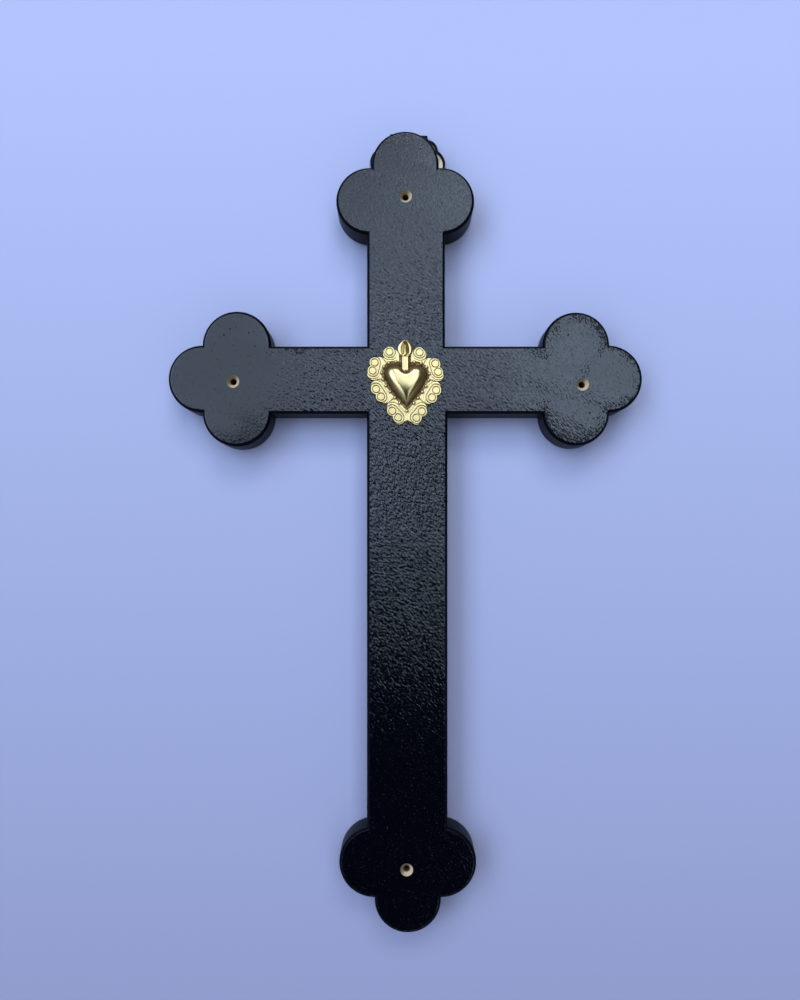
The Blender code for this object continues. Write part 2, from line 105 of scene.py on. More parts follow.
# The hanger plate, as in the part's source
PLATE_THICKNESS = 0.0008
PLATE_RIM_HEIGHT = 0.0005
PLATE_SIDE_RADIUS = 0.0063
PLATE_SIDE_SPREAD = 0.0083
PLATE_SHOULDER_RADIUS = 0.00415
PLATE_SHOULDER_SPREAD = 0.0073
PLATE_SHOULDER_RISE = 0.0054
PLATE_TAB_WIDTH = 0.0146
PLATE_TAB_RISE = 0.0112
PLATE_RIGHT_SHIFT = 0.0006
PLATE_LEAN = math.radians(-2.5)
PLATE_STANDS_PROUD = 0.0042
NAIL_HOLE = 0.0025
NAIL_HOLE_MARGIN = 0.00105
PLATE_POCKET_CLEARANCE = 0.0003

# The charm, as in the part's source
CHARM_THICKNESS = 0.0007
CHARM_RIGHT_SHIFT = -0.0002
CHARM_DROP = 0.00065
CHARM_LEAN = 0.043
CHARM_SLANT = 0.017
CHARM_GLUE_GAP = 0.0003
HEART_WIDTH = 0.0161
HEART_LOBE_TOP = 0.0062
HEART_CLEFT = 0.0042
HEART_TIP = 0.00975
HEART_BAND = 0.0088
BEAD_PITCH = 0.0024
BEAD_GAP = 0.0010
BOSS_RADIUS = 0.0021
FLAME_WIDTH = 0.0059
FLAME_HEIGHT = 0.0069
FLAME_SHIFT = 0.0004
COLLAR_WIDTH = 0.0029
COLLAR_HEIGHT = 0.0045
COLLAR_FOOT_RISE = 0.0043
COLLAR_FOOT_WIDTH = 0.0040
BOSSES = [
    (0.0056, 0.01075), (0.0113, 0.00665), (0.0122, 0.00360), (0.0112, -0.00325), (0.0095, -0.00605),
    (0.0055, -0.01130), (0.0034, -0.01375),
]
LEAVES = [
    (0.0042, 0.0098, 0.0021), (0.0058, 0.0102, 0.0024), (0.0094, 0.0056, 0.0033),
    (0.0122, 0.0024, 0.0022), (0.0106, -0.0024, 0.0027), (0.0080, -0.0062, 0.0024),
    (0.0052, -0.0102, 0.0024), (0.0031, -0.0141, 0.0022), (0.0014, -0.0135, 0.0019),
]
# Each leaf's bosses, by their places in BOSSES: the first and the last of the leaf
LEAF_BOSSES = [(0, 0), (1, 2), (3, 4), (5, 6)]

FRONT = -BOARD_THICKNESS
CHARM_FRONT = FRONT - CHARM_GLUE_GAP - CHARM_THICKNESS
BOARD_TOP = TOP_REACH + TOP_LOBE_STEP + END_LOBE_RADIUS
PLATE_CENTRE = Vector((PLATE_RIGHT_SHIFT, BOARD_TOP + PLATE_STANDS_PROUD - PLATE_TAB_RISE))

# How finely the round shapes are cut
ARC_STEP = math.radians(2.5)
EDGE_STEPS = 8
HOLE_STEPS = 48
POCKET_STEPS = 240
HEART_STEPS = 40
OVERCUT = 0.001

# The duller paint lies on the faces whose normals have less than this along Y
EDGE_ENDS = 0.97

# Outlines are filled while turned by this much, because the fill fails where far corners stand level
FILL_TURN = math.radians(17)

# The camera's place in front of the face, from the crossing: the photograph is taken square on
EYE_RIGHT = -0.00236
EYE_UP = -0.0575
EYE_DISTANCE = 0.2992
EYE_LENS = 28.8
EYE_SENSOR = 36.0
EYE_SHIFT_UP = 0.0335
EYE_NEAR = 0.01

# The wall's reach from the crossing, its gap behind the cross and the heights between which painted shade
# darkens it downwards
WALL_REACH = 3
WALL_GAP = 0.0004
WALL_FALL = (-0.33, 0.03)

# How strong the paint's stipple is, by heights from the nail hole and by places to its left and right
STIPPLE_UP = [
    (-0.30, 0.2), (-0.25, 0.2), (-0.234, 0.25), (-0.216, 0.38), (-0.197, 0.52), (-0.16, 0.7),
    (-0.141, 1.3), (-0.122, 1.2), (-0.108, 0.65), (-0.085, 0.6), (-0.073, 1.0), (-0.05, 0.6),
    (-0.02, 0.3), (0, 0.25),
]
STIPPLE_ACROSS = [
    (-0.09, 0.1), (-0.06, 0.12), (-0.035, 0.9), (0.0, 1), (0.03, 0.8), (0.045, 0.5), (0.06, 0.35),
    (0.09, 0.35),
]

# The stipple's turn, how much longer than wide it is, and the broad waves under it
STIPPLE_SLANT = math.radians(-38)
STIPPLE_STRETCH = 2.0
WAVES = 110.0
WAVE_HEIGHT = 0.2

# Pits crowd between these depths inside the right bud's edge and past these places from the nail hole.
# Discs at these steps back along the arm keep them away from where it meets the bud.
PITTED_RIM = (0.0012, 0.0066)
PITTED_PAST = (0.040, 0.050)
ARM_DISC_STEPS = (0.006, 0.016, 0.026)

# They crowd less in a band along the left arm's upper edge: fades across from the nail hole, then up
# from the crossing
SCRATCHED_FROM = (-0.053, -0.046)
SCRATCHED_TO = (-0.021, -0.016)
SCRATCHED_LOW = (0.0080, 0.0105)
SCRATCHED_HIGH = (0.0125, 0.0135)
SCRATCHED_SHARE = 0.9

# The crowds' patches, what crowding adds to the specks' noise, and how pits start, shine and sink
PATCHES = 160.0
PATCHINESS = (0.38, 0.58, 0.35, 1.0)
CROWDING = 0.18
PIT_EDGE = (0.67, 0.71)
PIT_ROUGHNESS = 0.9
PIT_DEPTH = 0.2

# Small holes and chips in the paint: right and up from the crossing, and radius
CHIPS = [
    (-0.0682, 0.0167, 0.0004), (-0.0659, 0.0190, 0.00035), (-0.0588, 0.0175, 0.00035),
    (-0.0566, 0.0126, 0.0003), (0.0077, 0.0459, 0.0003), (0.0489, -0.0091, 0.0004),
    (-0.0166, -0.0076, 0.00035), (0.0606, 0.0168, 0.0004), (0.0713, 0.0196, 0.00045),
    (0.0752, 0.0153, 0.0004), (0.0686, -0.0124, 0.0004),
]

# The charm's stamping: the creases between leaves, each groove's distance from its bosses' line and share
# of the depth, the moat round each boss, and the tarnish that they hold
CREASE_WIDTH = 0.00016
GROOVES = [(0.0022, 0.9), (0.0031, 0.4)]
GROOVE_WIDTH = 0.00013
MOAT_GAP = 0.0001
MOAT_WIDTH = 0.00012
GROOVE_TARNISH = 0.6

# The sunk band under the beads, the flame and its petals' creases, the collar and the dip beside it, and
# the sheet's edge, which falls over this share of the way out
BAND_DEPTH = 0.0001
FLAME_PUFF = 0.0007
PETAL_DEPTH = 0.0008
COLLAR_PUFF = 0.0008
COLLAR_STEP = 0.0002
COLLAR_OVERLAP = 0.0006
COLLAR_DIP = 0.0003
EDGE_DROP = 0.00045
EDGE_SHARE = 0.03

# How fast the heart's sides level off, and the painted dark reflection on them
HEART_LEVELLING = 2.4
HEART_SLOPE_SHADE = 0.95

# How far the heart's base, the beads' middles and the bosses' middles stand above the charm's front
HEART_BASE = -0.0003
BEAD_RISE = 0.00015
BOSS_RISE = 0.0001

# The lights of each tint, by slopes from the way the face looks: how bright each is across, then up.
# Someone stands in front, a little to the left, and hides the low part of the front light.
BUD_LIGHT_UP = [(0.0, 0), (0.07, 0.9), (0.104, 0.7), (0.13, 0.2), (0.16, 0)]
LIGHTS = {
    "front_tint": [
        ([(-0.50, 0), (-0.36, 1.45), (-0.20, 1.5), (0.0, 1.8), (0.06, 1.7), (0.10, 2.35), (0.14, 3.2),
          (0.20, 2.65), (0.27, 2.2), (0.50, 2.2), (0.62, 0)],
         [(-0.6, 0.001), (-0.208, 0.001), (-0.146, 0.002), (-0.083, 0.012), (-0.02, 0.075),
          (0.042, 0.19), (0.104, 0.42), (0.13, 0.85), (0.15, 0.97), (0.20, 1.0), (0.40, 1.0),
          (0.6, 0.95), (0.72, 0)]),
        ([(-0.50, 0), (-0.36, 1.45), (-0.19, 1.45), (-0.13, 0)], BUD_LIGHT_UP),
        ([(0.13, 0), (0.19, 2.7), (0.50, 2.4), (0.62, 0)], BUD_LIGHT_UP),
        ([(0.28, 0), (0.36, 1), (0.54, 1), (0.62, 0)], [(-0.8, 0), (-0.6, 1.2), (0.0, 1.4), (0.1, 0)]),
        ([(-2.5, 0), (-2, 1), (2, 1), (2.5, 0)], [(-2.4, 0), (-2.1, 0.55), (-1.0, 0.55), (-0.75, 0)]),
    ],
    "above_tint": [
        ([(-0.30, 0), (-0.2, 1), (0.52, 1), (0.62, 0)], [(0.72, 0), (0.84, 5.5), (1.38, 5.5), (1.5, 0)]),
    ],
    "left_tint": [
        ([(-1.35, 0), (-1.1, 1), (-0.46, 1), (-0.40, 0)],
         [(-0.9, 0), (-0.5, 1.0), (0, 2.9), (0.8, 3.1), (1.3, 2.6), (1.5, 0)]),
    ],
}
# What the camera sees past the wall
BEYOND_COLOUR = (0.62, 0.66, 0.78)

Bud = namedtuple("Bud", "out reach step inset side_radius end_radius edge_right edge_left drift")


# Places


def on_plate(point):
    """A point of the hanger plate, which is fixed a little askew, as a point on the cross."""
    return PLATE_CENTRE + Matrix.Rotation(PLATE_LEAN, 2) @ Vector(point)


NAIL_HOLE_CENTRE = on_plate((0, PLATE_TAB_RISE - NAIL_HOLE_MARGIN - NAIL_HOLE / 2))


def world(point, depth):
    """A point on the cross, (right, up) from the crossing, at a depth along Y."""
    return Vector((point[0] - NAIL_HOLE_CENTRE.x, depth, point[1] - NAIL_HOLE_CENTRE.y))


def charm_places(right, up, height):
    """World points for points of the charm, which is stamped a little skew, at heights above its front."""
    across = CHARM_RIGHT_SHIFT + right - CHARM_LEAN * up - NAIL_HOLE_CENTRE.x
    risen = up - CHARM_DROP - CHARM_SLANT * right - NAIL_HOLE_CENTRE.y
    return np.stack([across, CHARM_FRONT - height, risen], axis=-1)


# The board's outline


def turn(vector):
    """A quarter turn anticlockwise, seen from the front."""
    return Vector((-vector.y, vector.x))


def buds():
    """The four ends, anticlockwise from the right. A limb's right and left are seen looking out along it."""
    half_arm = ARM_HEIGHT / 2
    half_above = STEM_WIDTH_ABOVE / 2
    half_below = STEM_WIDTH_BELOW / 2
    return [
        Bud(Vector((1, 0)), RIGHT_REACH, RIGHT_LOBE_STEP, ARM_LOBE_INSET, RIGHT_SIDE_LOBE_RADIUS,
            END_LOBE_RADIUS, -half_arm, half_arm, ARM_DRIFT),
        Bud(Vector((0, 1)), TOP_REACH, TOP_LOBE_STEP, TOP_LOBE_INSET, TOP_SIDE_LOBE_RADIUS,
            END_LOBE_RADIUS, -half_above - STEM_SHIFT_ABOVE, half_above - STEM_SHIFT_ABOVE, -TOP_DRIFT),
        Bud(Vector((-1, 0)), LEFT_REACH, LEFT_LOBE_STEP, ARM_LOBE_INSET, LEFT_SIDE_LOBE_RADIUS,
            END_LOBE_RADIUS, -half_arm, half_arm, -ARM_DRIFT),
        Bud(Vector((0, -1)), FOOT_REACH, FOOT_LOBE_STEP, FOOT_LOBE_INSET, FOOT_SIDE_LOBE_RADIUS,
            FOOT_END_LOBE_RADIUS, -half_below + STEM_SHIFT_BELOW, half_below + STEM_SHIFT_BELOW, FOOT_DRIFT),
    ]


def angle_of(vector):
    return math.atan2(vector.y, vector.x)


def arc(centre, radius, first, last):
    """Points along an anticlockwise arc from one point to another, both included."""
    start = angle_of(first - centre)
    sweep = (angle_of(last - centre) - start) % math.tau
    steps = max(2, round(sweep / ARC_STEP))
    points = []
    for step in range(steps + 1):
        angle = start + sweep * step / steps
        points.append(centre + Vector((math.cos(angle), math.sin(angle))) * radius)
    return points


def outer_crossing(centre_a, radius_a, centre_b, radius_b, outward):
    """The crossing of two circles that lies further along a direction."""
    gap = centre_b - centre_a
    along = (gap.length_squared + radius_a ** 2 - radius_b ** 2) / (2 * gap.length)
    across = math.sqrt(max(radius_a ** 2 - along ** 2, 0))
    foot = centre_a + gap.normalized() * along
    side = turn(gap.normalized()) * across
    return max(foot + side, foot - side, key=lambda point: point.dot(outward))


def bud_lobes(bud):
    """The centre and the radius of a trefoil's right, left and end lobes."""
    left = turn(bud.out)
    middle = (bud.edge_right + bud.edge_left) / 2 + bud.drift
    spread = (bud.edge_left - bud.edge_right) / 2 - bud.inset
    return [
        (bud.out * bud.reach + left * (middle - spread), bud.side_radius),
        (bud.out * bud.reach + left * (middle + spread), bud.side_radius),
        (bud.out * (bud.reach + bud.step) + left * middle, bud.end_radius),
    ]


def bud_outline(bud):
    """One trefoil's edge, anticlockwise, from its limb's right edge round to its left."""
    left = turn(bud.out)
    right_lobe, left_lobe, (end_lobe, _) = bud_lobes(bud)
    points = []
    for side, edge, (lobe, _) in ((-1, bud.edge_right, right_lobe), (1, bud.edge_left, left_lobe)):
        depth = edge - lobe.dot(left)
        back = math.sqrt(max(bud.side_radius ** 2 - depth ** 2, 0))
        on_limb = lobe + left * depth - bud.out * back
        notch = outer_crossing(lobe, bud.side_radius, end_lobe, bud.end_radius, left * side)
        if side < 0:
            points += arc(lobe, bud.side_radius, on_limb, notch)
            first_notch = notch
        else:
            points += arc(end_lobe, bud.end_radius, first_notch, notch)[1:]
            points += arc(lobe, bud.side_radius, notch, on_limb)[1:]
    return points


def board_outline():
    """The whole cross, anticlockwise. A point stands in each inner corner of the crossing."""
    right_end, top_end, left_end, foot_end = buds()
    half_arm = ARM_HEIGHT / 2
    return (
        bud_outline(right_end) + [Vector((STEM_SHIFT_ABOVE + STEM_WIDTH_ABOVE / 2, half_arm))]
        + bud_outline(top_end) + [Vector((STEM_SHIFT_ABOVE - STEM_WIDTH_ABOVE / 2, half_arm))]
        + bud_outline(left_end) + [Vector((STEM_SHIFT_BELOW - STEM_WIDTH_BELOW / 2, -half_arm))]
        + bud_outline(foot_end) + [Vector((STEM_SHIFT_BELOW + STEM_WIDTH_BELOW / 2, -half_arm))]
    )


# Reaches of rays from a centre, for scalloped outlines


def ray_to_circle(direction, centre, radius):
    """How far a ray from the centre runs to leave a circle, or 0 if it misses it."""
    along = centre[0] * direction[0] + centre[1] * direction[1]
    off_squared = centre[0] ** 2 + centre[1] ** 2 - along ** 2
    if off_squared > radius ** 2:
        return 0
    return along + math.sqrt(radius ** 2 - off_squared)


def farthest(angle, circles, least):
    """How far a ray from the centre runs to leave the last of some circles, or the least reach."""
    direction = (math.cos(angle), math.sin(angle))
    return max([least] + [ray_to_circle(direction, centre, radius) for *centre, radius in circles])


def plate_reach(angle, inset):
    """How far the plate's edge lies from its centre in one direction, less an inset."""
    across = (PLATE_TAB_WIDTH / 2 - inset) / max(abs(math.cos(angle)), 1e-9)
    upward = (PLATE_TAB_RISE - inset) / max(abs(math.sin(angle)), 1e-9)
    circles = []
    for side in (-1, 1):
        circles.append((side * PLATE_SIDE_SPREAD, 0, PLATE_SIDE_RADIUS - inset))
        for rise in (-PLATE_SHOULDER_RISE, PLATE_SHOULDER_RISE):
            circles.append((side * PLATE_SHOULDER_SPREAD, rise, PLATE_SHOULDER_RADIUS - inset))
    return farthest(angle, circles, min(across, upward))


def charm_reach(angle):
    """How far the charm's edge lies from its centre in one direction."""
    middle = COLLAR_FOOT_RISE + COLLAR_HEIGHT + 0.5 * FLAME_HEIGHT
    circles = [(FLAME_SHIFT, middle, FLAME_WIDTH / 2),
               (FLAME_SHIFT, middle + 0.25 * FLAME_HEIGHT, FLAME_WIDTH / 4)]
    for right, up, radius in LEAVES + [(*boss, BOSS_RADIUS) for boss in BOSSES]:
        circles += [(-right, up, radius), (right, up, radius)]
    return farthest(angle, circles, HEART_BAND)


# Meshes


def new_piece(name, data):
    piece = bpy.data.objects.new(name, data)
    bpy.context.scene.collection.objects.link(piece)
    return piece


def evaluated_mesh(item):
    bpy.context.view_layer.update()
    return bpy.data.meshes.new_from_object(item.evaluated_get(bpy.context.evaluated_depsgraph_get()))


def placed_mesh(item, matrix):
    """An item's evaluated mesh in its place, closed and with all faces outwards. The item is removed."""
    mesh = evaluated_mesh(item)
    bpy.data.objects.remove(item)
    solid = bmesh.new()
    solid.from_mesh(mesh)
    solid.transform(matrix)
    bmesh.ops.remove_doubles(solid, verts=solid.verts, dist=0.000001)
    bmesh.ops.recalc_face_normals(solid, faces=solid.faces)
    solid.to_mesh(mesh)
    solid.free()
    return mesh


def stood_up(place):
    """The matrix that turns what is drawn flat to face the front, at its place."""
    return Matrix.Translation(place) @ Matrix.Rotation(math.pi / 2, 4, "X")


def smooth(mesh, angle):
    mesh.shade_smooth()
    mesh.set_sharp_from_angle(angle=math.radians(angle))


def slab(name, outline, front, back, rounding, steps):
    """A flat solid between two depths, with its outline in world (x, z) and both its edges rounded."""
    curve = bpy.data.curves.new(name, "CURVE")
    curve.dimensions = "2D"
    curve.fill_mode = "BOTH"
    curve.extrude = (back - front) / 2 - rounding
    curve.offset = -rounding
    curve.bevel_depth = rounding
    curve.bevel_resolution = steps
    spline = curve.splines.new("POLY")
    spline.points.add(len(outline) - 1)
    spline.use_cyclic_u = True
    for point, corner in zip(spline.points, outline):
        point.co = (*(Matrix.Rotation(FILL_TURN, 2) @ corner), 0, 1)
    matrix = stood_up((0, (front + back) / 2, 0)) @ Matrix.Rotation(-FILL_TURN, 4, "Z")
    return new_piece(name, placed_mesh(new_piece(name + "_drawn", curve), matrix))


def cut(target, tool):
    """Cuts a tool out of a piece for good. The walls of the cut take the tool's material."""
    modifier = target.modifiers.new("cut", "BOOLEAN")
    modifier.object = tool
    modifier.solver = "EXACT"
    modifier.material_mode = "TRANSFER"
    target.data = evaluated_mesh(target)
    target.modifiers.clear()
    bpy.data.objects.remove(tool)


def turned_mesh(name, section, matrix):
    """A solid turned about Z from (radius, height) points, put in its place."""
    mesh = bpy.data.meshes.new(name)
    mesh.from_pydata([(radius, 0, height) for radius, height in section],
                     [(index, index + 1) for index in range(len(section) - 1)], [])
    blank = new_piece(name, mesh)
    screw = blank.modifiers.new("turn", "SCREW")
    screw.steps = HOLE_STEPS
    screw.render_steps = HOLE_STEPS
    return placed_mesh(blank, matrix)


def relief(name, reach, inner, rings, spokes, height, base, settings):
    """A closed relief on the charm: rings of points out to its reach, a wall to its base and a flat back.

    height gives the rise and the darkening at points that are (right, up, share of the way out): tarnish in
    the hollows and painted shade on slopes."""
    angles = math.tau * (np.arange(spokes) + 0.5) / spokes
    out = np.array([reach(angle) for angle in angles])
    share = np.linspace(inner, 1, rings)
    right, up = (np.append(0, np.outer(share, out * turned(angles))) for turned in (np.cos, np.sin))
    way = np.append(0, np.repeat(share, spokes))
    rise, tarnish_and_shade_share = height(right, up, way, settings)
    top = charm_places(right, up, rise)
    bottom = charm_places(right[-spokes:], up[-spokes:], np.full(spokes, base))
    middle = charm_places(np.zeros(1), np.zeros(1), np.full(1, base))
    faces = []
    under = 1 + rings * spokes
    for spoke in range(spokes):
        after = (spoke + 1) % spokes
        faces += [(0, 1 + spoke, 1 + after), (under + spokes, under + after, under + spoke)]
        for low in range(1, under, spokes):
            high = low + spokes
            faces.append((low + spoke, high + spoke, high + after, low + after))
    mesh = bpy.data.meshes.new(name)
    mesh.from_pydata(np.concatenate([top, bottom, middle]).tolist(), [], faces)
    tone = mesh.attributes.new("tarnish_and_shade", "FLOAT", "POINT")
    tone.data.foreach_set("value", np.concatenate([tarnish_and_shade_share, np.ones(spokes + 1)]).astype(np.float32))
    smooth(mesh, 60)
    return new_piece(name, mesh)


# Materials


def set_sockets(tree, node, sockets):
    """Sets a node's sockets to values, or joins them to other sockets. Colours are given without alpha."""
    for key, value in sockets.items():
        socket = node.inputs[key]
        if isinstance(value, bpy.types.NodeSocket):
            tree.links.new(value, socket)
        else:
            socket.default_value = (*value, 1) if socket.type == "RGBA" else value


def add_node(tree, kind, sockets=None, **settings):
    made = tree.nodes.new(kind)
    for name, value in settings.items():
        setattr(made, name, value)
    set_sockets(tree, made, sockets or {})
    return made


def new_material(name):
    material = bpy.data.materials.new(name)
    material.use_nodes = True
    return material, material.node_tree, material.node_tree.nodes["Principled BSDF"]


def ramp(tree, value, low, high, start=0.0, end=1.0, kind="SMOOTHSTEP"):
    """A value mapped from one range to another, smoothly and with its ends held."""
    mapped = add_node(tree, "ShaderNodeMapRange",
                      {"Value": value, "From Min": low, "From Max": high, "To Min": start, "To Max": end},
                      interpolation_type=kind)
    return mapped.outputs["Result"]


def profile(tree, value, points):
    """A value read off a line through (value, result) points, with its ends held."""
    low, high = points[0][0], points[-1][0]
    most = max(result for _, result in points)
    curve = add_node(tree, "ShaderNodeFloatCurve", {"Value": ramp(tree, value, low, high, kind="LINEAR")})
    line = curve.mapping.curves[0]
    while len(line.points) < len(points):
        line.points.new(0.5, 0.5)
    for knot, (place, result) in zip(line.points, points):
        knot.location = ((place - low) / (high - low), result / most)
        knot.handle_type = "VECTOR"
    curve.mapping.update()
    return times(tree, curve.outputs[0], most)


def math_node(tree, operation, first, second):
    made = add_node(tree, "ShaderNodeMath", {0: first, 1: second}, operation=operation)
    return made.outputs["Value"]


def times(tree, first, second):
    return math_node(tree, "MULTIPLY", first, second)


def vector_math(tree, operation, first, second, key=1):
    """The results of two vectors, or of a vector and a number where the key says "Scale"."""
    return add_node(tree, "ShaderNodeVectorMath", {0: first, key: second}, operation=operation).outputs


def mix_colour(tree, factor, first, second):
    mixed = add_node(tree, "ShaderNodeMix", {0: factor, 6: first, 7: second}, data_type="RGBA")
    return mixed.outputs[2]


def object_place(tree):
    """The place on the object, whole and as its X, Y and Z."""
    place = add_node(tree, "ShaderNodeTexCoord").outputs["Object"]
    return place, add_node(tree, "ShaderNodeSeparateXYZ", {0: place}).outputs


def noise_value(tree, place, scale, detail, **more):
    sockets = {"Vector": place, "Scale": scale, "Detail": detail, **more}
    return add_node(tree, "ShaderNodeTexNoise", sockets).outputs["Fac"]


def bumped(tree, height, strength, depth):
    """The normal of a surface with small bumps."""
    sockets = {"Height": height, "Strength": strength, "Distance": depth}
    return add_node(tree, "ShaderNodeBump", sockets).outputs["Normal"]


def away_from(tree, place, point):
    """How far each place on the face is from one point, (right, up) from the crossing."""
    flat = vector_math(tree, "MULTIPLY", place, (1, 0, 1))[0]
    return vector_math(tree, "DISTANCE", flat, world(point, 0))["Value"]


def pitted(tree, place, across, upward, pit_size):
    """Where the paint has pits, and where it is chipped."""
    inside = 0.0
    arm_discs = [(Vector((RIGHT_REACH - step, 0)), ARM_HEIGHT / 2) for step in ARM_DISC_STEPS]
    for centre, radius in bud_lobes(buds()[0]) + arm_discs:
        depth = math_node(tree, "SUBTRACT", radius, away_from(tree, place, centre))
        inside = math_node(tree, "MAXIMUM", depth, inside)
    on_bud = times(tree, ramp(tree, inside, *PITTED_RIM, 1.0, 0.0), ramp(tree, across, *PITTED_PAST))
    low = [world((0, rise), 0).z for rise in SCRATCHED_LOW]
    high = [world((0, rise), 0).z for rise in SCRATCHED_HIGH]
    along_arm = times(tree, ramp(tree, across, *SCRATCHED_FROM), ramp(tree, across, *SCRATCHED_TO, 1.0, 0.0))
    in_band = times(tree, along_arm, ramp(tree, upward, *low, 0.0, SCRATCHED_SHARE))
    on_arm = times(tree, in_band, ramp(tree, upward, *high, 1.0, 0.0))
    patches = noise_value(tree, place, PATCHES, 2.0)
    crowded = times(tree, math_node(tree, "MAXIMUM", on_bud, on_arm), ramp(tree, patches, *PATCHINESS))
    specks = noise_value(tree, place, 1 / pit_size, 3.0, Roughness=0.6)
    pits = ramp(tree, math_node(tree, "ADD", specks, times(tree, crowded, CROWDING)), *PIT_EDGE)
    for *centre, radius in CHIPS:
        chip = ramp(tree, away_from(tree, place, centre), 0.6 * radius, radius, 1.0, 0.0)
        pits = math_node(tree, "MAXIMUM", pits, chip)
    return pits


def paint_material(settings):
    """Gloss black paint with a fine slanting stipple, pits near its right end's edges and a few chips."""
    material, tree, shader = new_material("gloss_black_paint")
    place, (across, _, upward) = object_place(tree)
    slant = {0: place, "Rotation": (0, STIPPLE_SLANT, 0), "Scale": (1, 1, STIPPLE_STRETCH)}
    slanted = add_node(tree, "ShaderNodeMapping", slant, vector_type="TEXTURE").outputs[0]
    stipple = noise_value(tree, slanted, 1 / settings.stipple_size, 0.5, Roughness=0.4, Distortion=0.3)
    strength = times(tree, profile(tree, upward, STIPPLE_UP), profile(tree, across, STIPPLE_ACROSS))
    waves = times(tree, noise_value(tree, place, WAVES, 2.0), WAVE_HEIGHT)
    pits = pitted(tree, place, across, upward, settings.pit_size)
    raised = math_node(tree, "ADD", waves, times(tree, stipple, strength))
    height = math_node(tree, "SUBTRACT", raised, times(tree, pits, PIT_DEPTH))
    rough = settings.paint_roughness
    gloss = ramp(tree, stipple, 0.3, 0.7, 0.85 * rough, 1.15 * rough)
    set_sockets(tree, shader, {
        "Base Color": settings.paint_colour,
        "Roughness": math_node(tree, "MAXIMUM", gloss, times(tree, pits, PIT_ROUGHNESS)),
        "Normal": bumped(tree, height, 1.0, settings.stipple_depth),
    })
    return material


def edge_material(settings):
    """Paint that has lost its gloss along the edges and down the sides."""
    material, tree, shader = new_material("dull_black_edge")
    set_sockets(tree, shader, {
        "Base Color": settings.paint_colour,
        "Roughness": settings.edge_roughness,
        "Specular IOR Level": settings.edge_shine,
    })
    return material


def bare_wood_material(settings):
    """Pale bare wood with grain round each hole's mouth. Painted shade makes it browner where it faces down
    and right and dark down the bore.
    """
    material, tree, shader = new_material("bare_wood")
    place, (_, depth, _) = object_place(tree)
    grain = noise_value(tree, place, 1400.0, 3.0)
    # Painted shade: deeper in each hole the wood turns to the dark bore colour.
    deep = ramp(tree, depth, FRONT + 0.6 * HOLE_SINK_DEPTH, FRONT + 1.5 * HOLE_SINK_DEPTH)
    normal = add_node(tree, "ShaderNodeNewGeometry").outputs["Normal"]
    # Painted shade: faces turned down and right, away from the light, are made browner, mixed with the grain.
    facing = vector_math(tree, "DOT_PRODUCT", normal, (0.7, 0, -0.7))["Value"]
    grain_and_painted_shade = ramp(tree, math_node(tree, "ADD", grain, facing), 0.1, 0.9)
    brown = [0.3 * part for part in settings.wood_colour]
    pale = mix_colour(tree, grain_and_painted_shade, settings.wood_colour, brown)
    set_sockets(tree, shader, {
        "Base Color": mix_colour(tree, deep, pale, settings.bore_shade_colour),
        "Roughness": 0.75,
        "Normal": bumped(tree, grain, 0.6, 0.0002),
    })
    return material


def gold_material(settings):
    """Bright gold, darkened where the relief's value is high: tarnish in the grooves, painted dark reflection
    on the heart's steep sides and painted shade on the collar's sides and the flame's right-hand petals.
    """
    material, tree, shader = new_material("stamped_gold")
    place, _ = object_place(tree)
    tarnish_and_shade = add_node(tree, "ShaderNodeAttribute", attribute_name="tarnish_and_shade").outputs["Fac"]
    patches = noise_value(tree, place, 900.0, 3.0)
    uneven = times(tree, tarnish_and_shade, ramp(tree, patches, 0.2, 0.6, 0.6, 1.0))
    rough = settings.gold_roughness
    set_sockets(tree, shader, {
        "Base Color": mix_colour(tree, uneven, settings.gold_colour, settings.tarnish_and_shade_colour),
        "Metallic": 1.0,
        "Roughness": ramp(tree, uneven, 0.0, 1.0, rough, rough + 0.25),
        "Normal": bumped(tree, patches, 0.25, 0.00005),
    })
    return material


def brass_material(settings):
    """Aged brass, nearly black on the raised rim and paler inside it: the paler field is painted reflection,
    varied by stains.
    """
    material, tree, shader = new_material("aged_brass")
    place, (_, depth, _) = object_place(tree)
    stains = noise_value(tree, place, 260.0, 4.0)
    # Painted reflection: the field inside the raised rim is paler, with stains varying it.
    field = ramp(tree, depth, -PLATE_THICKNESS - 0.5 * PLATE_RIM_HEIGHT, -PLATE_THICKNESS)
    reflection_and_stains = times(tree, field, ramp(tree, stains, 0.3, 0.6, 0.4, 1.0))
    set_sockets(tree, shader, {
        "Base Color": mix_colour(tree, reflection_and_stains, settings.dark_brass_colour, settings.field_reflection_colour),
        "Metallic": 1.0,
        "Roughness": ramp(tree, reflection_and_stains, 0.0, 1.0, 0.55, 0.32),
        "Normal": bumped(tree, stains, 0.3, 0.0001),
    })
    return material


def wall_material(settings):
    """The pale wall, with painted shade making it darker downwards. It casts no shadow and is clear from
    behind, to show the back.
    """
    material, tree, shader = new_material("pale_wall")
    _, (_, _, upward) = object_place(tree)
    level = ramp(tree, upward, *WALL_FALL, kind="LINEAR")
    set_sockets(tree, shader, {
        "Base Color": mix_colour(tree, level, settings.wall_colour_low, settings.wall_colour_high),
        "Roughness": 0.9,
        "Specular IOR Level": 0.2,
    })
    behind = add_node(tree, "ShaderNodeNewGeometry").outputs["Backfacing"]
    shadow = add_node(tree, "ShaderNodeLightPath").outputs["Is Shadow Ray"]
    clear = add_node(tree, "ShaderNodeBsdfTransparent").outputs[0]
    joined = add_node(tree, "ShaderNodeMixShader",
                      {0: math_node(tree, "MAXIMUM", behind, shadow), 1: shader.outputs[0], 2: clear})
    tree.links.new(joined.outputs[0], tree.nodes["Material Output"].inputs["Surface"])
    return material


# Geometry node trees for what repeats on the charm


